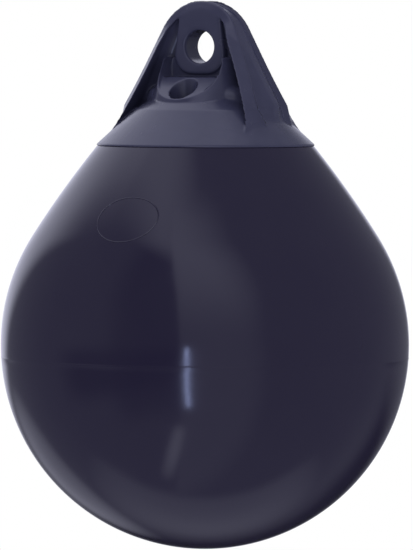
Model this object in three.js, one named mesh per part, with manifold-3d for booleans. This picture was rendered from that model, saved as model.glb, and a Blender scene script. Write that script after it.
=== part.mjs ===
// Round inflatable boat fender: a pear-shaped vinyl body under a solid moulded rope hold.
// Millimetres, +Z up. The origin is the centre of the rope eye, whose bore runs along Y.
// The valve pocket is on the front, which faces -Y.

import * as THREE from 'three';
import { mergeVertices } from 'three/addons/utils/BufferGeometryUtils.js';
import Module from 'manifold-3d';

const wasm = await Module();
wasm.setup();

// Driving dimensions

const SEAT_GAP = 0.3; // between pieces that are bonded, pressed or screwed together

// Inflated body
const BALL_RADIUS = 184;
const FLANK_START = 32.2; // degrees above the ball's equator where the straighter flank starts
const FLANK_RADIUS = 865; // the flank is an arc of this radius, tangent to the ball
const COLLAR_DROP = 88.5; // foot of the rope hold below the rope eye
const COLLAR_RADIUS = 98.1;
const COLLAR_STEP = 0.8; // the rope hold's rim stands proud of the skin
const SEAM_DROP = 10.8; // mould line below the ball's centre
const SEAM_WIDTH = 2.4;
const SEAM_HEIGHT = 0.5;
const REGISTER_RADIUS = 66; // the rope hold's foot is let into the body here
const REGISTER_DEPTH = 9;

// Plain oval panel on the body
const MARK_LENGTH = 60;
const MARK_HEIGHT = 38.5;
const MARK_LINE = 1.5;
const MARK_RELIEF = 0.5;
const MARK_DROP = 152.5; // panel centre below the rope eye
const MARK_TURN = 1.5; // degrees from the front toward +X

// Rope eye and its boss
const EYE_RADIUS = 14.85;
const EYE_MOUTH = 2.7; // rounding of both mouths
const BOSS_THICKNESS = 25.2;
const BOSS_TOP_HALF = 21.3;
const BOSS_BOTTOM_HALF = 26;
const BOSS_DROP = 24.8; // boss bottom below the eye
const BOSS_CORNER = 18;
const BOSS_BLEND = 1.7; // the boss runs on this far under the arch's crest
const BOSS_EDGE = 1.4;

// Arch over the eye, with two legs on each side
const ARCH_RADIUS = 42;
const LEG_LEAN = 23.9; // degrees from vertical
const RIB_THICKNESS = 8.2;
const RIB_EDGE = 1.6;
const CREST_OUTER = 16.3; // half-depth of the crest's outer edge, level with the eye
const CREST_INNER = 23.6; // half-depth of the crest's inner edge, level with the eye
const CREST_GROWTH = 0.19; // a crest grows deeper by this much for each millimetre down
const CREST_SPREAD = 0.0017; // and by this much more for each square millimetre
const CREST_SPREAD_DROP = 10; // from here down
const CREST_MERGE_RISE = 31; // above this the crest's inner edge is flush with the boss
const CREST_FREE_RISE = 6; // below this it stands fully proud of it
const FOOT_START_DROP = 53; // the ribs' feet flare from here down
const FOOT_INNER_FLARE = 3; // at the foot's end, away from the web
const FOOT_OUTER_FLARE = 17; // at the foot's end, toward the web
const FOOT_END_DROP = 77;
const FOOT_BURIED = 4; // the feet run on this far inside the dome
const CHANNEL_DEPTH = 2.4; // hollow between a front rib and the rib behind it, near the top

// Web in the plane of the arch
const WEB_THICKNESS = 8.5;
const WEB_FILLET = 12; // hollow fillet in front of and behind the web, limited by the rib
const WALL_LEAST = 0.5; // straight wall left between a rib's edge and the fillet
const WEB_SINK = 0.4; // the legs' fillets end this far inside the web
const WEB_RISE = 0.12; // the web's outer edge gains this much on the legs for each millimetre down
const WEB_CLEAR_DROP = 17.3; // the web's outer edge is flush with the legs here
const WEB_END_DROP = 60;
const WEB_FADE = 6; // the outer edge sinks into the legs over this height at its foot
const WEB_INSET = 5; // the web's own plate starts this far inside the arch's outline

// Dome and turret under the arch
const DOME_TOP_RADIUS = 64;
const DOME_TOP_DROP = 56.4;
const CROWN_RADIUS = 40; // the dome's flatter upper slope ends here, inside the turret
const CROWN_DROP = 41;
const TURRET_TOP_DROP = 9.5;
const TURRET_TOP_HALF_DEPTH = 42.6;
const TURRET_FOOT_HALF_WIDTH = 49.5;
const TURRET_FOOT_HALF_DEPTH = 57.4;
const TURRET_EDGE = 2.2;
const TURRET_BACK_DROP = 20; // the turret's back half is lower, clear of the eye
const TURRET_BURIED = 4; // the turret and the shoulder run on this far inside the dome
const SHOULDER_TOP_DROP = 34.7;
const SHOULDER_RADIUS = 57.4;
const SHOULDER_FLATNESS = 0.68; // half-depth of the shoulder over its half-width
const SHOULDER_CROWN = 11.5; // width and height of its rounded upper edge
const SHOULDER_SKIRT = 4; // its foot flares by this much

// Valve pocket and valve bore
const POCKET_RADIUS = 31;
const POCKET_DROP = 19.4; // pocket centre below the eye
const POCKET_LEDGE_DROP = 27.2;
const POCKET_SLOPE = 34.6; // degrees, the floor rises toward the back
const POCKET_WALL_DEPTH = 9; // the pocket's back wall in front of the arch's middle plane
const POCKET_LIP = 2; // ledge between the valve bore and the sloping floor
const VALVE_BORE_RADIUS = 12.5;
const VALVE_BORE_OFFSET = 39; // bore axis in front of the arch's middle plane
const VALVE_SEAT_DROP = 76;

// Valve
const BARREL_RADIUS = 7.2;
const BARREL_END_DROP = 96;
const FLANGE_RADIUS = 11;
const FLANGE_THICKNESS = 3;
const AIRWAY_RADIUS = 3;
const SOCKET_RADIUS = 4.5; // socket for the screw
const SOCKET_DEPTH = 11;
const SEAL_RADIUS = 7;
const SEAL_THICKNESS = 1.6;
const SCREW_HEAD_RADIUS = 6.4;
const SCREW_HEAD_HEIGHT = 4;
const SCREW_HEAD_EDGE = 1; // chamfer
const SCREW_LENGTH = 9; // shank under the seal
const SLOT_WIDTH = 1.8;
const SLOT_DEPTH = 2.2;

// Facets
const BODY_SIDES = 84;
const DOME_SIDES = 72;
const BORE_SIDES = 48;
const VALVE_SIDES = 32;

// Helpers

const radians = THREE.MathUtils.degToRad;

function toSolid(geometry) {
  const bare = geometry.index ? geometry.clone() : geometry;
  bare.deleteAttribute('normal');
  bare.deleteAttribute('uv');
  const merged = mergeVertices(bare, 1e-4);
  return new wasm.Manifold(new wasm.Mesh({
    numProp: 3,
    vertProperties: new Float32Array(merged.attributes.position.array),
    triVerts: new Uint32Array(merged.index.array),
  }));
}

function toGeometry(solid) {
  const mesh = solid.getMesh();
  const geometry = new THREE.BufferGeometry();
  geometry.setAttribute('position', new THREE.BufferAttribute(mesh.vertProperties, 3));
  geometry.setIndex(new THREE.BufferAttribute(mesh.triVerts, 1));
  geometry.computeVertexNormals();
  return geometry;
}

// A profile of [radius, height] points, listed upward on the outside, turned about Z.
function turned(profile, sides) {
  const points = profile.map(([radius, height]) => new THREE.Vector2(radius, height));
  return toSolid(new THREE.LatheGeometry(points, sides).rotateX(Math.PI / 2));
}

// An outline in the X-Z plane, extruded along Y from yStart to yEnd, with rounded outer edges.
function alongY(outline, yStart, yEnd, edge = 0) {
  const geometry = new THREE.ExtrudeGeometry(outline, {
    depth: yEnd - yStart - 2 * edge,
    bevelEnabled: edge > 0,
    bevelThickness: edge,
    bevelSize: edge,
    bevelOffset: -edge,
    bevelSegments: 2,
    curveSegments: 12,
  });
  return toSolid(geometry.rotateX(Math.PI / 2).translate(0, yEnd - edge, 0));
}

function box(min, max) {
  const size = new THREE.Vector3().subVectors(max, min);
  const centre = new THREE.Vector3().addVectors(min, max).multiplyScalar(0.5);
  return toSolid(new THREE.BoxGeometry(size.x, size.y, size.z).translate(centre.x, centre.y, centre.z));
}

// Points on an arc about (cx, cy), without its first one, so that outlines can be chained.
function arc(cx, cy, radius, fromDegrees, toDegrees, steps) {
  return Array.from({ length: steps }, (_, i) => {
    const angle = radians(fromDegrees + ((toDegrees - fromDegrees) * (i + 1)) / steps);
    return [cx + radius * Math.cos(angle), cy + radius * Math.sin(angle)];
  });
}

// A closed skin over equal rings of points, capped at both ends.
function loft(rings, section) {
  const count = rings[0].length;
  const caps = THREE.ShapeUtils.triangulateShape(section, []);
  const last = (rings.length - 1) * count;
  const index = [];
  for (let ring = 0; ring < rings.length - 1; ring += 1) {
    for (let i = 0; i < count; i += 1) {
      const a = ring * count + i;
      const b = ring * count + ((i + 1) % count);
      index.push(a, b + count, b, a, a + count, b + count);
    }
  }
  caps.forEach(([a, b, c]) => {
    index.push(a, b, c);
    index.push(last + a, last + c, last + b);
  });
  const geometry = new THREE.BufferGeometry();
  const flat = rings.flat().flatMap((point) => point.toArray());
  geometry.setAttribute('position', new THREE.BufferAttribute(new Float32Array(flat), 3));
  geometry.setIndex(index);
  return toSolid(geometry);
}

function part(name, solid, color, roughness) {
  const material = new THREE.MeshStandardMaterial({ color, roughness, metalness: 0 });
  const mesh = new THREE.Mesh(toGeometry(solid), material);
  mesh.name = name;
  return mesh;
}

// Inflated body

const collarHeight = -COLLAR_DROP;
const bodyTop = collarHeight - SEAT_GAP;
const skinTopRadius = COLLAR_RADIUS - COLLAR_STEP;

// The flank's centre lies on the line through its start and the ball's centre, beyond the axis.
// The flank ends at the collar, which sets how far down the ball's centre is.
const flankReach = FLANK_RADIUS - BALL_RADIUS;
const flankCentreX = -flankReach * Math.cos(radians(FLANK_START));
const flankRise = Math.sqrt(FLANK_RADIUS ** 2 - (skinTopRadius - flankCentreX) ** 2);
const flankCentreZ = bodyTop - flankRise;
const ballCentre = flankCentreZ + flankReach * Math.sin(radians(FLANK_START));

function flankPoints(offset) {
  const endAngle = THREE.MathUtils.radToDeg(Math.asin(flankRise / FLANK_RADIUS));
  return arc(flankCentreX, flankCentreZ, FLANK_RADIUS + offset, FLANK_START, endAngle, 6);
}

function ballAngle(height) {
  return THREE.MathUtils.radToDeg(Math.asin(height / BALL_RADIUS));
}

function bodyProfile(offset) {
  const radius = BALL_RADIUS + offset;
  const seamLow = ballAngle(-SEAM_DROP - SEAM_WIDTH / 2);
  const seamMiddle = ballAngle(-SEAM_DROP);
  const seamHigh = ballAngle(-SEAM_DROP + SEAM_WIDTH / 2);
  return [
    [0, ballCentre - radius],
    ...arc(0, ballCentre, radius, -90, seamLow, 14),
    ...arc(0, ballCentre, radius + SEAM_HEIGHT, seamLow, seamMiddle, 1),
    ...arc(0, ballCentre, radius, seamMiddle, seamHigh, 1),
    ...arc(0, ballCentre, radius, seamHigh, FLANK_START, 6),
    ...flankPoints(offset),
    [0, bodyTop],
  ];
}

function ovalOutline(halfLength, halfHeight) {
  return new THREE.Shape().absellipse(0, 0, halfLength, halfHeight, 0, Math.PI * 2);
}

// The panel's rim: an oval ring that follows the skin and stands a little proud of it.
function markRim() {
  const ring = ovalOutline(MARK_LENGTH / 2, MARK_HEIGHT / 2);
  ring.holes.push(ovalOutline(MARK_LENGTH / 2 - MARK_LINE, MARK_HEIGHT / 2 - MARK_LINE));
  const reach = BALL_RADIUS + MARK_LENGTH;
  const prism = alongY(ring, -reach, 0).translate(0, 0, -MARK_DROP).rotate(0, 0, MARK_TURN);
  return prism.intersect(turned(bodyProfile(MARK_RELIEF), BODY_SIDES));
}

function makeBody() {
  const registerFloor = bodyTop - REGISTER_DEPTH;
  const register = turned([
    [0, registerFloor],
    [REGISTER_RADIUS + SEAT_GAP, registerFloor],
    [REGISTER_RADIUS + SEAT_GAP, 0],
    [0, 0],
  ], DOME_SIDES);
  const barrelWell = turned([
    [0, -BARREL_END_DROP - FLANGE_THICKNESS],
    [BARREL_RADIUS + SEAT_GAP, -BARREL_END_DROP - FLANGE_THICKNESS],
    [BARREL_RADIUS + SEAT_GAP, 0],
    [0, 0],
  ], VALVE_SIDES).translate(0, -VALVE_BORE_OFFSET, 0);
  return turned(bodyProfile(0), BODY_SIDES).add(markRim()).subtract(register).subtract(barrelWell);
}

// Arch, ribs and web

const lean = radians(LEG_LEAN);
const webHalf = WEB_THICKNESS / 2;

// Values from start to end in even steps, without the first.
function evenSteps(start, end, steps) {
  return Array.from({ length: steps }, (_, i) => start + ((end - start) * (i + 1)) / steps);
}

// Where the outline of the arch and its legs runs: the right half, from the top down.
function archStations() {
  const steps = 7;
  const turnStep = (90 - LEG_LEAN) / steps;
  const round = Array.from({ length: steps + 1 }, (_, i) => {
    const angle = radians(90 - turnStep * i);
    const normal = new THREE.Vector2(Math.cos(angle), Math.sin(angle));
    return { point: normal.clone().multiplyScalar(ARCH_RADIUS), normal };
  });
  const tangent = round[steps];
  const along = new THREE.Vector2(Math.sin(lean), -Math.cos(lean));
  const drops = [
    ...evenSteps(-tangent.point.y, FOOT_START_DROP, 4),
    ...evenSteps(FOOT_START_DROP, FOOT_END_DROP, 3),
    FOOT_END_DROP + FOOT_BURIED,
  ];
  const legs = drops.map((drop) => {
    const travel = (tangent.point.y + drop) / Math.cos(lean);
    return { point: tangent.point.clone().addScaledVector(along, travel), normal: tangent.normal };
  });
  return [...round, ...legs];
}

function footShare(height) {
  const share = (-height - FOOT_START_DROP) / (FOOT_END_DROP - FOOT_START_DROP);
  return Math.max(share, 0);
}

function crestGain(height) {
  return -CREST_GROWTH * height + CREST_SPREAD * Math.max(-height - CREST_SPREAD_DROP, 0) ** 2;
}

function crestOuter(height) {
  return CREST_OUTER + crestGain(height) - FOOT_OUTER_FLARE * footShare(height);
}

function crestInner(height) {
  const proud = CREST_INNER + crestGain(height) + FOOT_INNER_FLARE * footShare(height);
  const flush = THREE.MathUtils.smoothstep(height, CREST_FREE_RISE, CREST_MERGE_RISE);
  return THREE.MathUtils.lerp(proud, BOSS_THICKNESS / 2, flush);
}

// How far the web's outer edge stands out of the legs: it sinks below their faces near the top.
function webReach(height) {
  const reach = WEB_RISE * (-height - WEB_CLEAR_DROP);
  const fade = THREE.MathUtils.clamp((WEB_END_DROP + height) / WEB_FADE, 0, 1);
  return Math.max(reach * fade, -CHANNEL_DEPTH);
}

// The section across one leg, as [outward, depth] points on its +Y half.
function halfSection(outerHeight, innerHeight) {
  const outer = crestOuter(outerHeight);
  const inner = crestInner(innerHeight);
  const reach = webReach(outerHeight);
  const wallFoot = inner - RIB_EDGE - WALL_LEAST;
  const fillet = Math.min(WEB_FILLET, wallFoot - webHalf);
  const bottom = -RIB_THICKNESS - fillet;
  return [
    [reach, 0],
    [reach, webHalf],
    [0, outer - RIB_EDGE],
    [-RIB_EDGE, outer],
    [-RIB_THICKNESS + RIB_EDGE, inner],
    [-RIB_THICKNESS, inner - RIB_EDGE],
    [-RIB_THICKNESS, webHalf + fillet],
    ...arc(bottom, webHalf + fillet, fillet, 0, -90, 3).slice(0, -1),
    [bottom, webHalf - WEB_SINK],
    [bottom, 0],
  ];
}

function sectionAt({ point, normal }) {
  const innerHeight = point.y - RIB_THICKNESS * normal.y;
  const half = halfSection(point.y, innerHeight);
  const mirrored = half.slice(1, -1).reverse().map(([out, depth]) => [out, -depth]);
  return [...half, ...mirrored];
}

// The arch and all four legs: one skin from the left foot over the eye to the right foot.
function makeLegs() {
  const right = archStations();
  const left = right.slice(1).reverse().map(({ point, normal }) => ({
    point: new THREE.Vector2(-point.x, point.y),
    normal: new THREE.Vector2(-normal.x, normal.y),
  }));
  const stations = [...left, ...right];
  const rings = stations.map((station) => sectionAt(station).map(([out, depth]) => {
    const x = station.point.x + out * station.normal.x;
    const z = station.point.y + out * station.normal.y;
    return new THREE.Vector3(x, depth, z);
  }));
  const section = sectionAt(stations[0]).map(([out, depth]) => new THREE.Vector2(out, depth));
  return loft(rings, section);
}

function makeWeb() {
  const radius = ARCH_RADIUS - WEB_INSET;
  const right = arc(0, 0, radius, 90, LEG_LEAN, 6);
  const [tangentX, tangentZ] = right[right.length - 1];
  const foot = [tangentX + Math.tan(lean) * (tangentZ + WEB_END_DROP), -WEB_END_DROP];
  const half = [...right, foot];
  const left = half.map(([x, z]) => [-x, z]).reverse();
  const outline = [[0, radius], ...half, ...left];
  return alongY(new THREE.Shape(outline.map(([x, z]) => new THREE.Vector2(x, z))), -webHalf, webHalf);
}

// Boss around the eye

function makeBoss() {
  const topRadius = ARCH_RADIUS - RIB_THICKNESS + BOSS_BLEND;
  const topAngle = THREE.MathUtils.radToDeg(Math.acos(BOSS_TOP_HALF / topRadius));
  const cornerX = BOSS_BOTTOM_HALF - BOSS_CORNER;
  const cornerZ = -BOSS_DROP + BOSS_CORNER;
  const right = [
    [cornerX, -BOSS_DROP],
    ...arc(cornerX, cornerZ, BOSS_CORNER, -90, 0, 5),
    [BOSS_TOP_HALF, topRadius * Math.sin(radians(topAngle))],
    ...arc(0, 0, topRadius, topAngle, 90, 5),
  ];
  const left = right.slice(0, -1).map(([x, z]) => [-x, z]).reverse();
  const outline = [...right, ...left].map(([x, z]) => new THREE.Vector2(x, z));
  return alongY(new THREE.Shape(outline), -BOSS_THICKNESS / 2, BOSS_THICKNESS / 2, BOSS_EDGE);
}

function eyeCutter() {
  const face = BOSS_THICKNESS / 2;
  const past = BOSS_THICKNESS;
  const centre = EYE_RADIUS + EYE_MOUTH;
  const mouth = arc(centre, face - EYE_MOUTH, EYE_MOUTH, 180, 90, 4);
  const upper = [[EYE_RADIUS, face - EYE_MOUTH], ...mouth, [centre, past], [0, past]];
  const lower = upper.map(([radius, depth]) => [radius, -depth]).reverse();
  return turned([...lower, ...upper], BORE_SIDES).rotate(90, 0, 0);
}

// Dome, turret, shoulders and valve pocket

function makeDome() {
  return turned([
    [0, collarHeight],
    [COLLAR_RADIUS - COLLAR_STEP, collarHeight],
    [COLLAR_RADIUS, collarHeight + COLLAR_STEP],
    [DOME_TOP_RADIUS, -DOME_TOP_DROP],
    [CROWN_RADIUS, -CROWN_DROP],
    [0, -CROWN_DROP],
  ], DOME_SIDES);
}

function makeRegister() {
  return turned([
    [0, collarHeight - REGISTER_DEPTH],
    [REGISTER_RADIUS, collarHeight - REGISTER_DEPTH],
    [REGISTER_RADIUS, collarHeight + COLLAR_STEP],
    [0, collarHeight + COLLAR_STEP],
  ], DOME_SIDES);
}

function makeTurret() {
  const foot = -DOME_TOP_DROP - TURRET_BURIED;
  const top = -TURRET_TOP_DROP;
  const widthShare = TURRET_FOOT_HALF_WIDTH / TURRET_FOOT_HALF_DEPTH;
  const edgeRadius = TURRET_TOP_HALF_DEPTH - TURRET_EDGE;
  const cone = turned([
    [0, foot],
    [TURRET_FOOT_HALF_DEPTH, foot],
    ...arc(edgeRadius, top - TURRET_EDGE, TURRET_EDGE, -30, 90, 4),
    [0, top],
  ], DOME_SIDES);
  const back = box(
    new THREE.Vector3(-TURRET_FOOT_HALF_WIDTH, 0, -TURRET_BACK_DROP),
    new THREE.Vector3(TURRET_FOOT_HALF_WIDTH, TURRET_FOOT_HALF_DEPTH, 0),
  );
  return cone.scale([widthShare, 1, 1]).subtract(back);
}

function makeShoulder() {
  const foot = -DOME_TOP_DROP - TURRET_BURIED;
  const crownRadius = SHOULDER_RADIUS - SHOULDER_CROWN;
  const crownHeight = -SHOULDER_TOP_DROP - SHOULDER_CROWN;
  const shoulder = turned([
    [0, foot],
    [SHOULDER_RADIUS + SHOULDER_SKIRT, foot],
    [SHOULDER_RADIUS, crownHeight],
    ...arc(crownRadius, crownHeight, SHOULDER_CROWN, 0, 90, 4),
    [0, -SHOULDER_TOP_DROP],
  ], DOME_SIDES);
  return shoulder.scale([1, SHOULDER_FLATNESS, 1]);
}

// Everything above the sloping floor and the ledge, inside a round opening cut from the front.
function pocketCutter() {
  const front = -COLLAR_RADIUS;
  const opening = alongY(ovalOutline(POCKET_RADIUS, POCKET_RADIUS), front, -POCKET_WALL_DEPTH);
  const slope = Math.tan(radians(POCKET_SLOPE));
  const ledgeFront = -VALVE_BORE_OFFSET + VALVE_BORE_RADIUS + POCKET_LIP;
  const run = -ledgeFront - front;
  const floorFront = -POCKET_LEDGE_DROP - (ledgeFront - front) * slope;
  const side = new THREE.Shape([
    new THREE.Vector2(front, floorFront),
    new THREE.Vector2(ledgeFront, -POCKET_LEDGE_DROP),
    new THREE.Vector2(0, -POCKET_LEDGE_DROP),
    new THREE.Vector2(0, run),
    new THREE.Vector2(front, run),
  ]);
  const above = alongY(side, -POCKET_RADIUS * 2, POCKET_RADIUS * 2).rotate(0, 0, 90);
  return opening.translate(0, 0, -POCKET_DROP).intersect(above);
}

function valveBoreCutter() {
  return turned([
    [0, -BARREL_END_DROP - FLANGE_THICKNESS],
    [BARREL_RADIUS + SEAT_GAP, -BARREL_END_DROP - FLANGE_THICKNESS],
    [BARREL_RADIUS + SEAT_GAP, -VALVE_SEAT_DROP],
    [VALVE_BORE_RADIUS, -VALVE_SEAT_DROP],
    [VALVE_BORE_RADIUS, -TURRET_TOP_DROP],
    [0, -TURRET_TOP_DROP],
  ], VALVE_SIDES).translate(0, -VALVE_BORE_OFFSET, 0);
}

function makeRopeHold() {
  return makeDome()
    .add(makeShoulder())
    .add(makeTurret())
    .subtract(pocketCutter())
    .add(makeRegister())
    .add(makeWeb())
    .add(makeLegs())
    .add(makeBoss())
    .subtract(eyeCutter())
    .subtract(valveBoreCutter());
}

// Valve

const flangeBottom = -VALVE_SEAT_DROP + SEAT_GAP;
const flangeTop = flangeBottom + FLANGE_THICKNESS;
const sealBottom = flangeTop + SEAT_GAP;
const sealTop = sealBottom + SEAL_THICKNESS;
const headBottom = sealTop + SEAT_GAP;
const headTop = headBottom + SCREW_HEAD_HEIGHT;
const shankRadius = SOCKET_RADIUS - SEAT_GAP;

function makeValveBody() {
  return turned([
    [AIRWAY_RADIUS, -BARREL_END_DROP],
    [BARREL_RADIUS, -BARREL_END_DROP],
    [BARREL_RADIUS, flangeBottom],
    [FLANGE_RADIUS, flangeBottom],
    [FLANGE_RADIUS, flangeTop],
    [SOCKET_RADIUS, flangeTop],
    [SOCKET_RADIUS, flangeTop - SOCKET_DEPTH],
    [AIRWAY_RADIUS, flangeTop - SOCKET_DEPTH],
    [AIRWAY_RADIUS, -BARREL_END_DROP],
  ], VALVE_SIDES);
}

function makeValveSeal() {
  return turned([
    [SOCKET_RADIUS, sealBottom],
    [SEAL_RADIUS, sealBottom],
    [SEAL_RADIUS, sealTop],
    [SOCKET_RADIUS, sealTop],
    [SOCKET_RADIUS, sealBottom],
  ], VALVE_SIDES);
}

function makeValveScrew() {
  const screw = turned([
    [0, headBottom - SCREW_LENGTH],
    [shankRadius, headBottom - SCREW_LENGTH],
    [shankRadius, headBottom],
    [SCREW_HEAD_RADIUS, headBottom],
    [SCREW_HEAD_RADIUS, headTop - SCREW_HEAD_EDGE],
    [SCREW_HEAD_RADIUS - SCREW_HEAD_EDGE, headTop],
    [0, headTop],
  ], VALVE_SIDES);
  const slot = box(
    new THREE.Vector3(-SCREW_HEAD_RADIUS * 2, -SLOT_WIDTH / 2, headTop - SLOT_DEPTH),
    new THREE.Vector3(SCREW_HEAD_RADIUS * 2, SLOT_WIDTH / 2, headTop + SLOT_DEPTH),
  );
  return screw.subtract(slot);
}

// Assembly

const navyVinyl = '#211f31';
const navyMoulding = '#2f2f3e';
const blackRubber = '#121213';
const blackPlastic = '#1a1a1d';

const valve = new THREE.Group();
valve.position.set(0, -VALVE_BORE_OFFSET, 0);
valve.add(part('valve_body', makeValveBody(), blackPlastic, 0.5));
valve.add(part('valve_seal', makeValveSeal(), blackRubber, 0.8));
valve.add(part('valve_screw', makeValveScrew(), blackPlastic, 0.4));

const fender = new THREE.Group();
fender.add(part('body', makeBody(), navyVinyl, 0.22));
fender.add(part('rope_hold', makeRopeHold(), navyMoulding, 0.38));
fender.add(valve);

export default fender;
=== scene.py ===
"""Round inflatable boat fender in navy blue: a glossy vinyl body under a moulded rope hold.

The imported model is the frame. Sizes are in millimetres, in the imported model's axes: the
origin is the centre of the rope eye, whose bore runs along Y, and +Z is up.
"""

import logging
import math
from collections.abc import Callable
from dataclasses import dataclass
from enum import Enum

import bmesh
import bpy
from mathutils import Matrix, Vector

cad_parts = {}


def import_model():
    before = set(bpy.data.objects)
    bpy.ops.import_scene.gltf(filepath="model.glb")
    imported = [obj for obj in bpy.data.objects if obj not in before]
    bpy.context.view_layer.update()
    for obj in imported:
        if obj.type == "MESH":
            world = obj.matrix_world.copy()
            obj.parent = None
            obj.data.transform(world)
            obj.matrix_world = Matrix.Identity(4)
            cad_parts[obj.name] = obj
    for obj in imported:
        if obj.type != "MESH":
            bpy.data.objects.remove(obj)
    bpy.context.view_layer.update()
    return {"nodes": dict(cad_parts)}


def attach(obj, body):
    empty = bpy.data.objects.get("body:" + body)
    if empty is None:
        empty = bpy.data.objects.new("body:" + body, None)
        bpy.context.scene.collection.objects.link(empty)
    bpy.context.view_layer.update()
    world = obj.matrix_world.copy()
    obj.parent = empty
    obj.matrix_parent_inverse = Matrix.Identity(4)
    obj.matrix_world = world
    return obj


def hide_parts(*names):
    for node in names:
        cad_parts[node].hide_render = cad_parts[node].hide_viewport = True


LOG = logging.getLogger("fender")
MM = 0.001
WELD = 1e-6
SEAT_GAP = 0.3
COLLAR_DROP = 88.5
COLLAR_RADIUS = 98.1
COLLAR_STEP = 0.8
VALVE_BORE_OFFSET = 39.0
BARREL_WELL_RADIUS = 7.5
BARREL_WELL_DROP = 99.0


class Mode(Enum):
    """How one solid acts on another."""

    CUT = "DIFFERENCE"
    KEEP_COMMON = "INTERSECT"


def mm(x: float, y: float, z: float) -> Vector:
    """Returns a point given in millimetres as a vector in metres."""
    return Vector((x, y, z)) * MM


def arc(
    centre: tuple[float, float], radius: float, start: float, end: float, steps: int
) -> list[tuple[float, float]]:
    """Points on an arc, without its first one, so that outlines can be chained.

    Args:
        centre: The arc's centre, in mm.
        radius: The arc's radius, in mm.
        start: The angle that it starts at, in degrees.
        end: The angle that it ends at, in degrees.
        steps: How many points it has.

    Returns:
        The points, in mm.
    """
    angles = [math.radians(start + (end - start) * (i + 1) / steps) for i in range(steps)]
    return [(centre[0] + radius * math.cos(a), centre[1] + radius * math.sin(a)) for a in angles]


def start_vertex(name: str, at: Vector) -> bpy.types.Object:
    """Starts a piece in edit mode as one vertex, which is a small plane merged to its centre.

    Args:
        name: The piece's name.
        at: Where the vertex lies, in metres.

    Returns:
        The new object.
    """
    bpy.ops.object.select_all(action="DESELECT")
    bpy.ops.mesh.primitive_plane_add(size=MM, location=at)
    piece = bpy.context.active_object
    piece.name = name
    bpy.ops.object.transform_apply(location=True, rotation=False, scale=False)
    bpy.ops.object.mode_set(mode="EDIT")
    bpy.ops.mesh.select_mode(type="VERT")
    bpy.ops.mesh.select_all(action="SELECT")
    bpy.ops.mesh.merge(type="CENTER")
    return piece


def trace(points: list[Vector]) -> None:
    """Extrudes the selected vertex, which lies at the first point, through the others."""
    for here, there in zip(points, points[1:]):
        bpy.ops.mesh.extrude_vertices_move(TRANSFORM_OT_translate={"value": there - here})


def close_up() -> None:
    """Merges doubles, turns the normals outward and leaves edit mode."""
    bpy.ops.mesh.select_all(action="SELECT")
    bpy.ops.mesh.remove_doubles(threshold=WELD)
    bpy.ops.mesh.normals_make_consistent(inside=False)
    bpy.ops.object.mode_set(mode="OBJECT")


def turned(name: str, profile: list[tuple[float, float]], steps: int) -> bpy.types.Object:
    """Spins a profile about Z into a closed solid.

    Args:
        name: The piece's name.
        profile: Points of radius and height, in mm.
        steps: How many steps the full turn has.

    Returns:
        The new object.
    """
    points = [mm(radius, 0, height) for radius, height in profile]
    piece = start_vertex(name, points[0])
    trace(points)
    bpy.ops.mesh.select_all(action="SELECT")
    bpy.ops.mesh.spin(steps=steps, angle=math.tau, center=(0, 0, 0), axis=(0, 0, 1))
    close_up()
    return piece


def plate(
    name: str, outline: list[tuple[float, float]], front: float, back: float
) -> bpy.types.Object:
    """Fills an outline and extrudes it along Y.

    Args:
        name: The piece's name.
        outline: Points of x and z, in mm.
        front: The lower y, in mm.
        back: The higher y, in mm.

    Returns:
        The new object.
    """
    points = [mm(x, front, z) for x, z in outline]
    piece = start_vertex(name, points[0])
    trace(points)
    bpy.ops.mesh.select_all(action="SELECT")
    bpy.ops.mesh.edge_face_add()
    depth = mm(0, back - front, 0)
    bpy.ops.mesh.extrude_region_move(TRANSFORM_OT_translate={"value": depth})
    close_up()
    return piece


def apply_modifier(piece: bpy.types.Object, kind: str, **settings: object) -> None:
    """Adds a modifier with its settings and applies it.

    Args:
        piece: The object that it changes.
        kind: The modifier's type.
        settings: Its properties.
    """
    modifier = piece.modifiers.new(kind.title(), kind)
    for name, value in settings.items():
        setattr(modifier, name, value)
    bpy.ops.object.select_all(action="DESELECT")
    piece.select_set(True)
    bpy.context.view_layer.objects.active = piece
    bpy.ops.object.modifier_apply(modifier=modifier.name)


def carve(piece: bpy.types.Object, cutter: bpy.types.Object, mode: Mode = Mode.CUT) -> None:
    """Cuts a solid by another one, or keeps what both share."""
    apply_modifier(piece, "BOOLEAN", object=cutter, operation=mode.value, solver="EXACT")


def discard(*pieces: bpy.types.Object) -> None:
    """Removes scratch solids from the scene."""
    for piece in pieces:
        bpy.data.objects.remove(piece, do_unlink=True)


def join(target: bpy.types.Object, *others: bpy.types.Object) -> bpy.types.Object:
    """Joins objects into the first one, which it returns."""
    bpy.ops.object.select_all(action="DESELECT")
    for piece in (target, *others):
        piece.select_set(True)
    bpy.context.view_layer.objects.active = target
    bpy.ops.object.join()
    return target


def resize(piece: bpy.types.Object, x: float, y: float, z: float) -> None:
    """Scales a piece's mesh about the origin."""
    bpy.ops.object.select_all(action="DESELECT")
    piece.select_set(True)
    bpy.context.view_layer.objects.active = piece
    piece.scale = (x, y, z)
    bpy.ops.object.transform_apply(location=False, rotation=False, scale=True)


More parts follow.
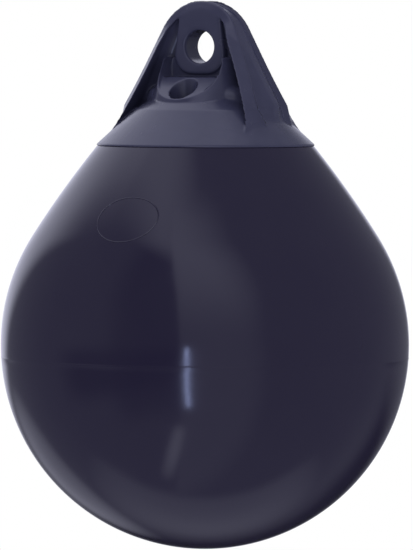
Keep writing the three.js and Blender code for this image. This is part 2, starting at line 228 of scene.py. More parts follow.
def mirrored(piece: bpy.types.Object, x: bool, y: bool) -> None:
    """Mirrors a piece that ends on a middle plane, whose faces in that plane it removes.

    Args:
        piece: The object, in edit mode.
        x: Whether it is mirrored in x.
        y: Whether it is mirrored in y.
    """
    mesh = bmesh.from_edit_mesh(piece.data)
    for face in mesh.faces:
        in_x = x and all(abs(vert.co.x) < WELD for vert in face.verts)
        in_y = y and all(abs(vert.co.y) < WELD for vert in face.verts)
        face.select_set(in_x or in_y)
    bmesh.update_edit_mesh(piece.data)
    bpy.ops.mesh.select_mode(type="FACE")
    bpy.ops.mesh.delete(type="ONLY_FACE")
    bpy.ops.mesh.select_mode(type="VERT")
    bpy.ops.object.mode_set(mode="OBJECT")
    apply_modifier(piece, "MIRROR", use_axis=(x, y, False), merge_threshold=WELD)
    bpy.ops.object.mode_set(mode="EDIT")
    close_up()


def round_off(piece: bpy.types.Object, width: float) -> None:
    """Rounds the sharp edges of a solid.

    Args:
        piece: The solid.
        width: How far the rounding reaches from each edge, in mm.
    """
    apply_modifier(
        piece,
        "BEVEL",
        width=width * MM,
        segments=3,
        limit_method="ANGLE",
        angle_limit=math.radians(50),
    )


def shade(piece: bpy.types.Object, degrees: float) -> None:
    """Shades a piece smooth, apart from edges sharper than an angle."""
    bpy.ops.object.select_all(action="DESELECT")
    piece.select_set(True)
    bpy.context.view_layer.objects.active = piece
    bpy.ops.object.shade_smooth_by_angle(angle=math.radians(degrees))


def linear(colour: str) -> tuple[float, float, float, float]:
    """Turns an sRGB hex value such as "#1f1c2e" into a linear colour with alpha."""
    parts = [int(colour[i : i + 2], 16) / 255 for i in (1, 3, 5)]
    bent = [p / 12.92 if p <= 0.04045 else ((p + 0.055) / 1.055) ** 2.4 for p in parts]
    return (*bent, 1.0)


def add_node(
    tree: bpy.types.NodeTree, kind: str, inputs: dict | None = None, **settings: object
) -> bpy.types.Node:
    """Adds a node with its settings and links.

    Args:
        tree: The node tree that it goes into.
        kind: The node's type.
        inputs: A value or a linked socket for each input, by name or number.
        settings: Its properties.

    Returns:
        The new node.
    """
    node = tree.nodes.new(kind)
    for name, value in settings.items():
        setattr(node, name, value)
    for name, value in (inputs or {}).items():
        if isinstance(value, bpy.types.NodeSocket):
            tree.links.new(value, node.inputs[name])
        else:
            node.inputs[name].default_value = value
    return node


@dataclass(frozen=True)
class MouldedFinish:
    """A moulded polymer surface: soft colour drift, uneven gloss and two sizes of relief."""

    name: str
    dark: str
    light: str
    smoothest: float
    roughest: float
    ior: float
    patch_mm: float
    wave_mm: float
    wave_height_mm: float
    grain_mm: float
    grain_height_mm: float

    def make(self) -> bpy.types.Material:
        """Builds the material and returns it."""
        material = bpy.data.materials.new(self.name)
        material.use_nodes = True
        tree = material.node_tree
        tree.nodes.clear()
        place = add_node(tree, "ShaderNodeTexCoord").outputs["Object"]
        patches = self.noise(tree, place, self.patch_mm, 3.0)
        colour = add_node(
            tree,
            "ShaderNodeMix",
            {0: patches, 6: linear(self.dark), 7: linear(self.light)},
            data_type="RGBA",
        )
        gloss = add_node(
            tree,
            "ShaderNodeMapRange",
            {0: patches, 1: 0.3, 2: 0.7, 3: self.smoothest, 4: self.roughest},
        )
        waves = self.noise(tree, place, self.wave_mm, 1.0)
        broad = add_node(
            tree,
            "ShaderNodeBump",
            {"Strength": 1.0, "Distance": self.wave_height_mm * MM, "Height": waves},
        )
        grain = self.noise(tree, place, self.grain_mm, 2.0)
        fine = add_node(
            tree,
            "ShaderNodeBump",
            {
                "Strength": 1.0,
                "Distance": self.grain_height_mm * MM,
                "Height": grain,
                "Normal": broad.outputs[0],
            },
        )
        shader = add_node(
            tree,
            "ShaderNodeBsdfPrincipled",
            {
                "Base Color": colour.outputs[2],
                "Roughness": gloss.outputs[0],
                "IOR": self.ior,
                "Normal": fine.outputs[0],
            },
        )
        add_node(tree, "ShaderNodeOutputMaterial", {"Surface": shader.outputs[0]})
        return material

    def noise(
        self, tree: bpy.types.NodeTree, place: bpy.types.NodeSocket, size: float, detail: float
    ) -> bpy.types.NodeSocket:
        """Adds a noise pattern of a real size.

        Args:
            tree: The node tree that it goes into.
            place: The coordinates that it follows.
            size: The pattern's repeat, in mm.
            detail: How many finer layers it has.

        Returns:
            The pattern's height.
        """
        noise = add_node(
            tree,
            "ShaderNodeTexNoise",
            {"Vector": place, "Scale": 1 / (size * MM), "Detail": detail},
        )
        return noise.outputs[0]


# Plasticised PVC, rotationally moulded in a polished mould: a deep wet gloss, with the long
# soft waver that an inflated skin gives to what it mirrors.
GLOSSY_VINYL = MouldedFinish(
    name="inflated_vinyl_skin",
    dark="#1f1c31",
    light="#232035",
    smoothest=0.1,
    roughest=0.16,
    ior=1.5,
    patch_mm=70,
    wave_mm=45,
    wave_height_mm=0.12,
    grain_mm=2.2,
    grain_height_mm=0.006,
)

# The same PVC, poured solid in a blasted mould: a greyer satin that blurs what it mirrors.
SATIN_VINYL = MouldedFinish(
    name="solid_vinyl_moulding",
    dark="#2f3047",
    light="#383953",
    smoothest=0.2,
    roughest=0.28,
    ior=1.5,
    patch_mm=18,
    wave_mm=9,
    wave_height_mm=0.08,
    grain_mm=0.9,
    grain_height_mm=0.012,
)

# Glass-filled nylon, injection moulded: a dry black with a fine even grain.
BLACK_NYLON = MouldedFinish(
    name="valve_nylon",
    dark="#131315",
    light="#1b1b1e",
    smoothest=0.4,
    roughest=0.55,
    ior=1.53,
    patch_mm=6,
    wave_mm=3,
    wave_height_mm=0.02,
    grain_mm=0.5,
    grain_height_mm=0.015,
)

# Nitrile rubber, stamped from sheet: dull, a little dusty and almost without a highlight.
NITRILE_RUBBER = MouldedFinish(
    name="seal_rubber",
    dark="#0e0e0f",
    light="#161616",
    smoothest=0.7,
    roughest=0.85,
    ior=1.52,
    patch_mm=4,
    wave_mm=2,
    wave_height_mm=0.02,
    grain_mm=0.4,
    grain_height_mm=0.02,
)


@dataclass(frozen=True)
class InflatedBody:
    """The air-filled skin: a ball under a straighter flank, with a mould line and a blank oval."""

    ball_radius: float = 184.0
    flank_start: float = 32.2
    flank_radius: float = 865.0
    seam_drop: float = 10.8
    seam_width: float = 2.4
    seam_height: float = 0.22
    oval_length: float = 60.0
    oval_height: float = 38.5
    oval_drop: float = 152.5
    oval_shift: float = 4.6
    oval_bead: float = 0.7
    oval_sink: float = 0.4
    turn_steps: int = 256

    @property
    def top(self) -> float:
        """The height of the skin's upper end."""
        return -COLLAR_DROP - SEAT_GAP

    @property
    def flank_centre(self) -> tuple[float, float]:
        """The centre of the flank's arc."""
        x = -(self.flank_radius - self.ball_radius) * math.cos(math.radians(self.flank_start))
        rise = math.sqrt(self.flank_radius**2 - (COLLAR_RADIUS - COLLAR_STEP - x) ** 2)
        return x, self.top - rise

    @property
    def ball_centre(self) -> float:
        """The height of the ball's centre."""
        reach = self.flank_radius - self.ball_radius
        return self.flank_centre[1] + reach * math.sin(math.radians(self.flank_start))

    def ball_angle(self, height: float) -> float:
        """Returns the angle above the ball's equator, in degrees, at a height over its centre."""
        return math.degrees(math.asin(height / self.ball_radius))

    def profile(self) -> list[tuple[float, float]]:
        """Returns the skin's profile from its lower pole to its closed top."""
        low = self.ball_angle(-self.seam_drop - self.seam_width / 2)
        middle = self.ball_angle(-self.seam_drop)
        high = self.ball_angle(-self.seam_drop + self.seam_width / 2)
        centre = (0.0, self.ball_centre)
        end = math.degrees(math.asin((self.top - self.flank_centre[1]) / self.flank_radius))
        return [
            (0.0, self.ball_centre - self.ball_radius),
            *arc(centre, self.ball_radius, -90, low, 48),
            *arc(centre, self.ball_radius + self.seam_height, low, middle, 2),
            *arc(centre, self.ball_radius, middle, high, 2),
            *arc(centre, self.ball_radius, high, self.flank_start, 20),
            *arc(self.flank_centre, self.flank_radius, self.flank_start, end, 20),
            (0.0, self.top),
        ]

    def oval_rim(self, skin: bpy.types.Object) -> bpy.types.Object:
        """Makes the raised bead round the blank oval, laid on the skin.

        Args:
            skin: The body that it lies on.

        Returns:
            The bead as a closed tube, half sunk into the skin.
        """
        bpy.ops.object.select_all(action="DESELECT")
        bpy.ops.mesh.primitive_circle_add(
            vertices=144,
            radius=self.oval_length / 2 * MM,
            location=mm(self.oval_shift, -self.ball_radius * 1.2, -self.oval_drop),
            rotation=(math.pi / 2, 0, 0),
        )
        rim = bpy.context.active_object
        rim.name = "oval_rim"
        rim.scale = (1, self.oval_height / self.oval_length, 1)
        bpy.ops.object.transform_apply(location=True, rotation=True, scale=True)
        apply_modifier(
            rim,
            "SHRINKWRAP",
            target=skin,
            wrap_method="PROJECT",
            use_project_y=True,
            use_positive_direction=True,
            use_negative_direction=False,
            offset=-self.oval_sink * MM,
        )
        bpy.ops.object.convert(target="CURVE")
        rim.data.bevel_depth = self.oval_bead * MM
        rim.data.bevel_resolution = 3
        bpy.ops.object.convert(target="MESH")
        return bpy.context.active_object

    def build(self) -> bpy.types.Object:
        """Builds and dresses the body and returns it."""
        body = turned("inflated_body", self.profile(), self.turn_steps)
        well = turned(
            "barrel_well",
            [
                (0.0, -BARREL_WELL_DROP),
                (BARREL_WELL_RADIUS, -BARREL_WELL_DROP),
                (BARREL_WELL_RADIUS, 0.0),
                (0.0, 0.0),
            ],
            32,
        )
        well.data.transform(Matrix.Translation(mm(0, -VALVE_BORE_OFFSET, 0)))
        carve(body, well)
        discard(well)
        join(body, self.oval_rim(body))
        shade(body, 35)
        body.data.materials.clear()
        body.data.materials.append(GLOSSY_VINYL.make())
        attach(body, "root")
        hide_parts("body")
        return body


@dataclass(frozen=True)
class RopeHold:
    """The solid moulding over the body: arch, four ribs, web, boss, turret, pocket and dome."""

    eye_radius: float = 14.85
    eye_mouth: float = 2.7
    boss_thickness: float = 25.2
    boss_top_half: float = 21.3
    boss_bottom_half: float = 26.0
    boss_drop: float = 24.8
    boss_corner: float = 18.0
    boss_blend: float = 1.7
    boss_edge: float = 2.2
    arch_radius: float = 42.0
    leg_lean: float = 23.9
    rib_thickness: float = 8.2
    crest_outer: float = 16.3
    crest_inner: float = 23.6
    crest_growth: float = 0.19
    crest_spread: float = 0.0017
    crest_spread_drop: float = 10.0
    crest_merge_rise: float = 31.0
    crest_free_rise: float = 6.0
    foot_start: float = 53.0
    foot_inner_flare: float = 3.0
    foot_outer_flare: float = 17.0
    foot_end: float = 77.0
    foot_buried: float = 4.0
    channel_depth: float = 3.0
    channel_share: float = 0.3
    rib_edge: float = 1.6
    web_half: float = 4.25
    web_fillet: float = 12.0
    wall_inset: float = 2.1
    web_sink: float = 0.4
    web_rise: float = 0.12
    web_clear: float = 17.3
    web_end: float = 60.0
    web_fade: float = 6.0
    dome_top_radius: float = 64.0
    dome_top: float = 56.4
    crown_radius: float = 40.0
    crown_drop: float = 41.0
    turret_top: float = 9.5
    turret_top_depth: float = 42.6
    turret_foot_width: float = 49.5
    turret_foot_depth: float = 57.4
    turret_edge: float = 2.2
    turret_back: float = 20.0
    buried: float = 4.0
    shoulder_top: float = 34.7
    shoulder_radius: float = 57.4
    shoulder_flatness: float = 0.68
    shoulder_crown: float = 11.5
    shoulder_skirt: float = 4.0
    pocket_radius: float = 31.0
    pocket_drop: float = 19.4
    pocket_ledge: float = 27.2
    pocket_slope: float = 34.6
    pocket_wall: float = 9.0
    pocket_lip: float = 2.0
    bore_radius: float = 12.5
    bore_seat: float = 76.0
    trim_gap: float = 0.05
    voxel: float = 0.8
    smoothing: int = 6
    kept_share: float = 0.45
    skirt: float = 6.0
    sharp_angle: float = 60.0

    @property
    def lean(self) -> float:
        """The legs' angle from vertical, in radians."""
        return math.radians(self.leg_lean)

    def leg_drops(self) -> list[float]:
        """Returns the drops below the eye at which a leg has a section."""
        tangent = -self.arch_radius * math.sin(self.lean)
        leg = [tangent + (self.foot_start - tangent) * (i + 1) / 6 for i in range(6)]
        foot_step = (self.foot_end - self.foot_start) / 4
        foot = [self.foot_start + foot_step * (i + 1) for i in range(4)]
        return [*leg, *foot, self.foot_end + self.foot_buried]

    def reach(self, point: Vector) -> float:
        """Returns how far out of the arch's middle a point lies, in mm, across the band."""
        x, z = point.x / MM, point.z / MM
        if math.atan2(z, x) > self.lean:
            return math.hypot(x, z)
        return x * math.cos(self.lean) + z * math.sin(self.lean)

    def outward(self, point: Vector) -> Vector:
        """Returns the direction across the band, away from the eye, at a point."""
        angle = max(math.atan2(point.z, point.x), self.lean)
        return Vector((math.cos(angle), 0, math.sin(angle)))

    def foot_share(self, height: float) -> float:
        """Returns how far the foot's flare has grown at a height."""
        return max((-height - self.foot_start) / (self.foot_end - self.foot_start), 0)

    def crest_gain(self, height: float) -> float:
        """Returns how much deeper a crest has grown at a height than level with the eye."""
        spread = self.crest_spread * max(-height - self.crest_spread_drop, 0) ** 2
        return spread - self.crest_growth * height

    def outer_depth(self, height: float) -> float:
        """Returns the half-depth of a crest's outer edge at a height."""
        flare = self.foot_outer_flare * self.foot_share(height)
        return self.crest_outer + self.crest_gain(height) - flare

    def inner_depth(self, height: float) -> float:
        """Returns the half-depth of a crest's inner edge, which is flush with the boss on top."""
        flare = self.foot_inner_flare * self.foot_share(height)
        proud = self.crest_inner + self.crest_gain(height) + flare
        rise = (height - self.crest_free_rise) / (self.crest_merge_rise - self.crest_free_rise)
        share = min(max(rise, 0), 1)
        flush = share * share * (3 - 2 * share)
        return proud + (self.boss_thickness / 2 - proud) * flush

    def web_reach(self, height: float) -> float:
        """Returns how far the web's outer edge stands out of the legs at a height."""
        fade = min(max((self.web_end + height) / self.web_fade, 0), 1)
        return max(self.web_rise * (-height - self.web_clear) * fade, -self.channel_depth)

    def band(
        self, name: str, radii: list[float], section: Callable[[int, float], tuple[float, float]]
    ) -> bpy.types.Object:
        """Sweeps a row of points over the arch and down the legs, and gives it depth.

        Args:
            name: The piece's name.
            radii: The points' distances from the eye's centre at the top, in mm.
            section: How far a point moves outward and its half-depth, from its place in the
                row and its height, in mm.

        Returns:
            The closed band, in object mode.
        """
        points = [mm(0, 0, radius) for radius in radii]
        piece = start_vertex(name, points[0])
        trace(points)
        bpy.ops.mesh.select_all(action="SELECT")
        bpy.ops.mesh.spin(
            steps=20, angle=math.pi / 2 - self.lean, center=(0, 0, 0), axis=(0, -1, 0)
        )
        drop = -self.arch_radius * math.sin(self.lean)
        for station in self.leg_drops():
            travel = (station - drop) / math.cos(self.lean)
            step = mm(travel * math.sin(self.lean), 0, -travel * math.cos(self.lean))
            bpy.ops.mesh.extrude_edges_move(TRANSFORM_OT_translate={"value": step})
            drop = station
        bpy.ops.mesh.select_all(action="SELECT")
        bpy.ops.mesh.extrude_region_move(TRANSFORM_OT_translate={"value": mm(0, -1, 0)})
        mesh = bmesh.from_edit_mesh(piece.data)
        for vert in mesh.verts:
            reach = self.reach(vert.co)
            place = min(range(len(radii)), key=lambda i: abs(radii[i] - reach))
            shift, depth = section(place, vert.co.z / MM)
            if vert.co.y < -WELD:
                vert.co.y = -depth * MM
            vert.co += self.outward(vert.co) * shift * MM
        bmesh.update_edit_mesh(piece.data)
        mirrored(piece, x=True, y=True)
        return piece

    def ribs(self) -> bpy.types.Object:
        """Makes the arch with its four ribs, a groove beside each, and the web's edge."""
        rim = self.arch_radius
        radii = [
            rim - self.rib_thickness,
            rim - self.rib_edge,
            rim,
            rim - self.channel_depth,
            rim + self.channel_depth,
        ]

        def section(place: int, height: float) -> tuple[float, float]:
            """Returns the shift and half-depth of the crest, the rim, the groove or the web."""
            outer = self.outer_depth(height)
            flat = outer - self.rib_edge
            groove = flat + (self.web_half - flat) * self.channel_share
            depths = (self.inner_depth(height), outer, flat, groove, self.web_half)
            on_web = place == len(radii) - 1
            shift = self.web_reach(height) - self.channel_depth if on_web else 0.0
            return shift, depths[place]

        return self.band("ribs", radii, section)

    def fillet(self) -> bpy.types.Object:
        """Makes the hollow fillet that joins each rib's inner wall to the web."""
        wall = self.arch_radius - self.rib_thickness
        angles = [math.radians(90 * i / 6) for i in range(1, 7)]
        radii = [wall + 1.0, *(wall - self.web_fillet * (1 - math.cos(a)) for a in angles)]

        def section(place: int, height: float) -> tuple[float, float]:
            """Returns the half-depth of the hollow, whose radius the rib's depth limits."""
            room = self.inner_depth(height) - self.wall_inset - self.web_half
            radius = min(self.web_fillet, room)
            gap = radius - max(wall - radii[place], 0)
            if gap <= 0:
                return 0.0, self.web_half - self.web_sink
            return 0.0, self.web_half + radius - math.sqrt(radius**2 - gap**2)

        return self.band("fillet", radii, section)

    def web(self) -> bpy.types.Object:
        """Makes the web in the arch's middle plane, whose outer edge stands out lower down."""
        top = [(math.pi / 2) - (math.pi / 2 - self.lean) * i / 10 for i in range(11)]
        points = [(self.arch_radius * math.cos(a), self.arch_radius * math.sin(a)) for a in top]
        start = points[-1]
        for drop in self.leg_drops():
            run = (start[1] + drop) * math.tan(self.lean)
            points.append((start[0] + run, -drop))
        outline = []
        for x, z in points:
            out = self.outward(Vector((x, 0, z))) * self.web_reach(z)
            outline.append((x + out.x, z + out.z))
        left = [(-x, z) for x, z in reversed(outline[1:])]
        return plate("web", [*outline, *left], -self.web_half, self.web_half)

    def boss(self) -> bpy.types.Object:
        """Makes the boss round the eye."""
        corner = (self.boss_bottom_half - self.boss_corner, -self.boss_drop + self.boss_corner)
        top = self.arch_radius - self.rib_thickness + self.boss_blend
        angle = math.degrees(math.acos(self.boss_top_half / top))
        right = [
            (corner[0], -self.boss_drop),
            *arc(corner, self.boss_corner, -90, 0, 8),
            (self.boss_top_half, top * math.sin(math.radians(angle))),
            *arc((0.0, 0.0), top, angle, 90, 8),
        ]
        left = [(-x, z) for x, z in reversed(right[:-1])]
        half = self.boss_thickness / 2
        piece = plate("boss", [*right, *left], -half, half)
        round_off(piece, self.boss_edge)
        return piece

    def eye_cutter(self) -> bpy.types.Object:
        """Makes the solid of the eye's bore with its two rounded mouths."""
        face = self.boss_thickness / 2
        wide = self.eye_radius + self.eye_mouth
        mouth = arc((wide, face - self.eye_mouth), self.eye_mouth, 180, 90, 6)
        upper = [
            (self.eye_radius, face - self.eye_mouth),
            *mouth,
            (wide, face * 2),
            (0.0, face * 2),
        ]
        lower = [(radius, -depth) for radius, depth in reversed(upper)]
        cutter = turned("eye_cutter", [*lower, *upper], 64)
        cutter.data.transform(Matrix.Rotation(math.pi / 2, 4, "X"))
        return cutter

    def dome(self) -> bpy.types.Object:
        """Makes the dome that seats on the body, with a skirt under it to be trimmed off."""
        foot = -COLLAR_DROP - self.skirt
        return turned(
            "dome",
            [
                (0.0, foot),
                (COLLAR_RADIUS, foot),
                (COLLAR_RADIUS, -COLLAR_DROP + COLLAR_STEP),
                (self.dome_top_radius, -self.dome_top),
                (self.crown_radius, -self.crown_drop),
                (0.0, -self.crown_drop),
            ],
            160,
        )

    def turret(self) -> bpy.types.Object:
        """Makes the oval turret that holds the valve pocket, with its lower back half."""
        foot = -self.dome_top - self.buried
        edge = (self.turret_top_depth - self.turret_edge, -self.turret_top - self.turret_edge)
        piece = turned(
            "turret",
            [
                (0.0, foot),
                (self.turret_foot_depth, foot),
                *arc(edge, self.turret_edge, -30, 90, 4),
                (0.0, -self.turret_top),
            ],
            128,
        )
        resize(piece, self.turret_foot_width / self.turret_foot_depth, 1, 1)
        side, low = self.turret_foot_width, -self.turret_back
        corners = [(-side, low), (side, low), (side, 0.0), (-side, 0.0)]
        back = plate("turret_back", corners, 0.0, self.turret_foot_depth)
        carve(piece, back)
        discard(back)
        return piece

    def shoulder(self) -> bpy.types.Object:
        """Makes the wider shoulder round the turret's foot."""
        foot = -self.dome_top - self.buried
        crown_height = -self.shoulder_top - self.shoulder_crown
        crown = (self.shoulder_radius - self.shoulder_crown, crown_height)
        piece = turned(
            "shoulder",
            [
                (0.0, foot),
                (self.shoulder_radius + self.shoulder_skirt, foot),
                (self.shoulder_radius, crown_height),
                *arc(crown, self.shoulder_crown, 0, 90, 6),
                (0.0, -self.shoulder_top),
            ],
            128,
        )
        resize(piece, 1, self.shoulder_flatness, 1)
        return piece

    def pocket_cutter(self) -> bpy.types.Object:
        """Makes the solid of the pocket: a round opening over a ledge and a sloping floor."""
        ring = arc((0.0, -self.pocket_drop), self.pocket_radius, 0, 360, 72)
        opening = plate("pocket_opening", ring, -COLLAR_RADIUS, -self.pocket_wall)
        ledge = -VALVE_BORE_OFFSET + self.bore_radius + self.pocket_lip
        slope = math.tan(math.radians(self.pocket_slope))
        low = -self.pocket_ledge - (ledge + COLLAR_RADIUS) * slope
        side = [
            (-COLLAR_RADIUS, low),
            (ledge, -self.pocket_ledge),
            (0.0, -self.pocket_ledge),
            (0.0, COLLAR_RADIUS),
            (-COLLAR_RADIUS, COLLAR_RADIUS),
        ]
        above = plate("pocket_above", side, -self.pocket_radius * 2, self.pocket_radius * 2)
        above.data.transform(Matrix.Rotation(math.pi / 2, 4, "Z"))
        carve(opening, above, Mode.KEEP_COMMON)
        discard(above)
        return opening

    def bore_cutter(self) -> bpy.types.Object:
        """Makes the solid of the valve bore and the barrel's hole under it."""
        cutter = turned(
            "bore_cutter",
            [
                (0.0, -BARREL_WELL_DROP),
                (BARREL_WELL_RADIUS, -BARREL_WELL_DROP),
                (BARREL_WELL_RADIUS, -self.bore_seat),
                (self.bore_radius, -self.bore_seat),
                (self.bore_radius, -self.turret_top),
                (0.0, -self.turret_top),
            ],
            48,
        )
        cutter.data.transform(Matrix.Translation(mm(0, -VALVE_BORE_OFFSET, 0)))
        return cutter

    def build(self) -> bpy.types.Object:
        """Builds and dresses the rope hold and returns it."""
        dome, turret, shoulder = self.dome(), self.turret(), self.shoulder()
        ribs, fillet, web, boss = self.ribs(), self.fillet(), self.web(), self.boss()
        pocket, bore, eye = self.pocket_cutter(), self.bore_cutter(), self.eye_cutter()
        for piece in (dome, turret, shoulder):
            carve(piece, bore)
        for piece in (turret, shoulder):
            carve(piece, pocket)
        for piece in (turret, web, boss):
            carve(piece, eye)
        discard(pocket, bore, eye)
        hold = join(dome, turret, shoulder, ribs, fillet, web, boss)
        hold.name = "rope_hold_moulding"
        apply_modifier(hold, "REMESH", mode="VOXEL", voxel_size=self.voxel * MM)
        apply_modifier(hold, "SMOOTH", factor=0.5, iterations=self.smoothing)
        apply_modifier(hold, "DECIMATE", ratio=self.kept_share)
        bpy.ops.object.mode_set(mode="EDIT")
        bpy.ops.mesh.select_all(action="SELECT")
        bpy.ops.mesh.bisect(
            plane_co=mm(0, 0, -COLLAR_DROP - SEAT_GAP + self.trim_gap),
            plane_no=(0, 0, 1),
            use_fill=True,
            clear_inner=True,
        )
        bpy.ops.object.mode_set(mode="OBJECT")
        shade(hold, self.sharp_angle)
        hold.data.materials.clear()
        hold.data.materials.append(SATIN_VINYL.make())
        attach(hold, "root")
        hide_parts("rope_hold")
        return hold


@dataclass(frozen=True)
class FillingValve:
    """The three valve pieces at the bottom of the bore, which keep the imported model's shapes."""

    def dress(self, nodes: dict[str, bpy.types.Object]) -> None:
        """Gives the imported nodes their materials.

        Args:
            nodes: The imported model's objects by name.
        """
        nylon = BLACK_NYLON.make()
        rubber = NITRILE_RUBBER.make()
        for name, finish in (("valve_body", nylon), ("valve_seal", rubber), ("valve_screw", nylon)):
            nodes[name].material_slots[0].material = finish


@dataclass(frozen=True)
class SoftBox:
    """One soft light, placed by the direction in which it is seen from the fender."""

    name: str
    right: float
    up: float
    toward: float
    width: float
    height: float
    radiance: float
    colour: str


@dataclass(frozen=True)
class SoftEdge:
    """A blurred straight edge, from where it starts to where it ends along a direction."""

    right: float
    up: float
    toward: float
    start: float
    end: float


@dataclass(frozen=True)
class Panel:
    """A large soft panel round the fender, or a black flag if it takes light away."""

    name: str
    low: float
    high: float
    ramp: SoftEdge
    edges: tuple[SoftEdge, ...]
    flag: bool = False


@dataclass(frozen=True)
class Studio:
    """The camera, the pale floor, the white surround, the mirrored tent and the strip light."""

    azimuth: float = 31.0
    elevation: float = 2.25
    middle: float = -205.7
    distance: float = 6100.0
    lens: float = 443.0
    aim_right: float = 1.2
    roll: float = 0.2
    floor_drop: float = 453.4
    tent_radiance: float = 0.22
    tent_colour: str = "#e8e9ff"

    @property
    def axes(self) -> tuple[Vector, Vector, Vector]:
        """The camera's right, up and backward directions."""
        turn, tilt = math.radians(self.azimuth), math.radians(self.elevation)
        back = Vector(
            (
                math.sin(turn) * math.cos(tilt),
                -math.cos(turn) * math.cos(tilt),
                math.sin(tilt),
            )
        )
        right = Vector((math.cos(turn), math.sin(turn), 0))
        return right, back.cross(right), back

    def place(self, right: float, up: float, toward: float) -> Vector:
        """Returns a point given from the fender's middle in the camera's directions, in metres."""
        x, y, z = self.axes
        return mm(0, 0, self.middle) + x * right + y * up + z * toward

    def camera(self) -> None:
        """Makes the camera at the photograph's angle and distance."""
        data = bpy.data.cameras.new("camera")
        data.lens = self.lens
        data.clip_end = 100
        camera = bpy.data.objects.new("camera", data)
        bpy.context.scene.collection.objects.link(camera)
        right, up, back = self.axes
        roll = math.radians(self.roll)
        side = right * math.cos(roll) + up * math.sin(roll)
        rise = back.cross(side)
        turn = Matrix((side, rise, back)).transposed().to_4x4()
        spot = self.place(self.aim_right * MM, 0, self.distance * MM)
        camera.matrix_world = Matrix.Translation(spot) @ turn
        bpy.context.scene.camera = camera

    def glow(self, name: str, radiance: float) -> bpy.types.Material:
        """Makes a plain white emitting surface.

        Args:
            name: The material's name.
            radiance: How bright it is.

        Returns:
            The material.
        """
        material = bpy.data.materials.new(name)
        material.use_nodes = True
        tree = material.node_tree
        tree.nodes.clear()
        light = add_node(tree, "ShaderNodeEmission", {"Strength": radiance})
        add_node(tree, "ShaderNodeOutputMaterial", {"Surface": light.outputs[0]})
        return material

    def surround(self) -> None:
        """Makes the white surround and the pale floor, which light the fender but which it doesn't
        mirror and which cast no shadow.
        """
        bpy.ops.object.select_all(action="DESELECT")
        bpy.ops.mesh.primitive_uv_sphere_add(segments=48, ring_count=24, radius=30)
        shell = bpy.context.active_object
        shell.name = "white_surround"
        shell.data.materials.append(self.glow("surround_white", 1.0))
        bpy.ops.mesh.primitive_circle_add(
            vertices=96, radius=20, fill_type="NGON", location=mm(0, 0, -self.floor_drop)
        )
        floor = bpy.context.active_object
        floor.name = "pale_floor"
        floor.data.materials.append(self.glow("floor_white", 1.0))
        for stage in (shell, floor):
            stage.active_material.cycles.emission_sampling = "NONE"
            stage.visible_glossy = False
            stage.visible_shadow = False

    def light(self, box: SoftBox) -> None:
        """Makes one soft light that the camera doesn't see.

        Args:
            box: The light's size, place and brightness.
        """
        data = bpy.data.lights.new(box.name, "AREA")
        data.shape = "RECTANGLE"
        data.size = box.width
        data.size_y = box.height
        data.energy = box.radiance * math.pi * box.width * box.height
        data.color = linear(box.colour)[:3]
        light = bpy.data.objects.new(box.name, data)
        bpy.context.scene.collection.objects.link(light)
        spot = self.place(box.right, box.up, box.toward)
        aim = (spot - mm(0, 0, self.middle)).normalized()
        turn = aim.to_track_quat("Z", "Y").to_matrix().to_4x4()
        light.matrix_world = Matrix.Translation(spot) @ turn
        light.visible_camera = False
        light.visible_diffuse = False

    def across(
        self, tree: bpy.types.NodeTree, edge: SoftEdge, low: float = 0.0, high: float = 1.0
    ) -> bpy.types.NodeSocket:
        """Adds a smooth step over a soft edge.

        Args:
            tree: The world's node tree.
            edge: The edge.
            low: The value where the edge starts.
            high: The value where it ends.

        Returns:
            The value in each direction.
        """
        x, y, z = self.axes
        across = x * edge.right + y * edge.up + z * edge.toward
        ray = add_node(tree, "ShaderNodeTexCoord").outputs["Generated"]
        along = add_node(tree, "ShaderNodeVectorMath", {0: ray, 1: across}, operation="DOT_PRODUCT")
        step = add_node(
            tree,
            "ShaderNodeMapRange",
            {0: along.outputs["Value"], 1: edge.start, 2: edge.end, 3: low, 4: high},
            interpolation_type="SMOOTHSTEP",
        )
        return step.outputs[0]

    def tent(self) -> None:
        """Makes the world that the fender mirrors: a dim tent with large soft panels."""
        world = bpy.data.worlds.new("studio_tent")
        world.use_nodes = True
        tree = world.node_tree
        total = add_node(tree, "ShaderNodeValue").outputs[0]
        total.default_value = self.tent_radiance
        for panel in PANELS:
            value = self.across(tree, panel.ramp, panel.low, panel.high)
            for edge in panel.edges:
                inside = self.across(tree, edge)
                value = add_node(
                    tree, "ShaderNodeMath", {0: value, 1: inside}, operation="MULTIPLY"
                ).outputs[0]
            if panel.flag:
                value = add_node(
                    tree, "ShaderNodeMath", {0: 1.0, 1: value}, operation="SUBTRACT"
                ).outputs[0]
            total = add_node(
                tree,
                "ShaderNodeMath",
                {0: total, 1: value},
                operation="MULTIPLY" if panel.flag else "MAXIMUM",
            ).outputs[0]
        tree.links.new(total, tree.nodes["Background"].inputs["Strength"])
        tree.nodes["Background"].inputs["Color"].default_value = linear(self.tent_colour)
        world.cycles_visibility.diffuse = False
        bpy.context.scene.world = world

    def build(self) -> None:
        """Makes the camera, the surround, the tent and the strip light."""
        self.camera()
        self.surround()
        self.tent()
        bpy.context.scene.view_settings.view_transform = "Standard"
        self.light(STRIP)


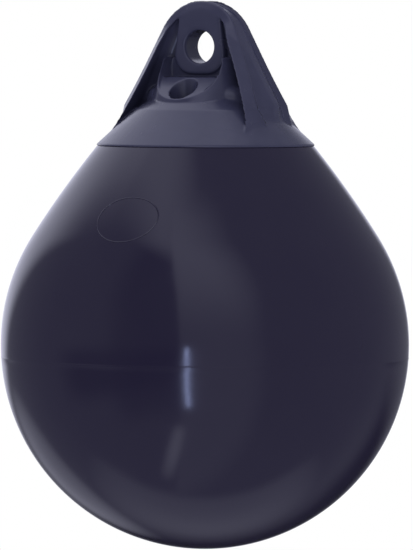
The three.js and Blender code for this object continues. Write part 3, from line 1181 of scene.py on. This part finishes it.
UPWARD = SoftEdge(0, 1, 0, 0.0, 0.88)
KEY_EDGE = SoftEdge(1, 0.05, 0, -0.255, -0.235)
LEFT_OF_KEY = SoftEdge(-1, -0.05, 0, 0.235, 0.255)
KEY_FALLOFF = SoftEdge(-0.726, -0.153, 0.687, -0.16, 0.4)
KEY_TOP = SoftEdge(0, 1, 0, 0.965, 0.88)
TOP_EDGE = SoftEdge(-0.726, -0.153, 0.687, -0.04, 0.2)
TOP_SIDE = SoftEdge(-1, 0, 0, -0.15, 0.4)
BACK_LEFT = SoftEdge(0.7, 0.58, -0.41, -0.12, 0.12)
BACK_RIGHT = SoftEdge(-0.85, 0.405, -0.336, 0.05, 0.3)
BEHIND = SoftEdge(0, 0, -1, -0.25, 0.1)
HORIZON = SoftEdge(0, 1, 0, -0.2, 0.0)

# The flags come first, because each panel only shows where it is the brightest.
PANELS = (
    Panel(
        "front_flag",
        0.65,
        0.65,
        UPWARD,
        (
            LEFT_OF_KEY,
            SoftEdge(0.574, 0, 0.819, -0.15, 0.15),
            SoftEdge(0, 1, 0, -0.72, -0.5),
        ),
        flag=True,
    ),
    Panel(
        "table_flag",
        0.85,
        0.85,
        UPWARD,
        (
            LEFT_OF_KEY,
            SoftEdge(0, 1, 0, -0.5, -0.3),
            SoftEdge(0, 1, 0, 0.02, -0.1),
            SoftEdge(0.17, 0, 0.985, -0.3, 0.1),
        ),
        flag=True,
    ),
    Panel(
        "right_flag",
        0.45,
        0.45,
        UPWARD,
        (
            SoftEdge(1, -0.6, 0, -0.05, 0.1),
            SoftEdge(0, -1, 0, 0.0, 0.25),
            SoftEdge(0, 1, 0, -0.75, -0.55),
            SoftEdge(0, 0, -1, 0.5, 0.7),
        ),
        flag=True,
    ),
    Panel(
        "floor_flag",
        0.85,
        0.85,
        UPWARD,
        (
            SoftEdge(1, -0.6, 0, -0.1, 0.1),
            SoftEdge(0, -1, 0, 0.15, 0.3),
            SoftEdge(0, 1, 0, -0.65, -0.45),
            SoftEdge(0, 0, -1, 0.6, 0.8),
        ),
        flag=True,
    ),
    Panel("key", 0.4, 1.0, UPWARD, (KEY_EDGE, KEY_FALLOFF, KEY_TOP)),
    Panel("top", 0.95, 0.95, UPWARD, (TOP_EDGE, BACK_LEFT, TOP_SIDE)),
    Panel("backdrop", 1.15, 1.15, UPWARD, (BEHIND, BACK_LEFT, BACK_RIGHT, HORIZON)),
    Panel(
        "floor_glow",
        0.5,
        1.2,
        SoftEdge(0, 0, 1, 0.0, 0.5),
        (
            SoftEdge(1, -0.27, 0, -0.12, -0.02),
            SoftEdge(-1, 0.27, 0, -0.08, 0.0),
            SoftEdge(0, 0, 1, -0.05, 0.2),
            SoftEdge(0, 0, -1, -0.75, -0.6),
            SoftEdge(0, -1, 0, 0.6, 0.7),
        ),
    ),
    Panel(
        "floor_back",
        0.5,
        0.5,
        UPWARD,
        (SoftEdge(0, -1, 0, 0.5, 0.88), SoftEdge(0, 0, -1, -0.1, 0.2)),
    ),
    Panel(
        "floor_left_back",
        0.55,
        0.55,
        UPWARD,
        (SoftEdge(-0.453, -0.4226, -0.785, 0.92, 0.99),),
    ),
)

STRIP = SoftBox("strip", -0.33, -0.66, 1.92, 0.07, 1.15, 12.0, "#b9c8ff")


def main() -> None:
    """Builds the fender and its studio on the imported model."""
    logging.basicConfig(level=logging.INFO, format="%(name)s: %(message)s")
    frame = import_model()
    Studio().build()
    LOG.info("studio ready")
    body = InflatedBody().build()
    LOG.info("%s: %d faces", body.name, len(body.data.polygons))
    hold = RopeHold().build()
    LOG.info("%s: %d faces", hold.name, len(hold.data.polygons))
    FillingValve().dress(frame["nodes"])
    LOG.info("valve dressed")


if __name__ == "__main__":
    main()
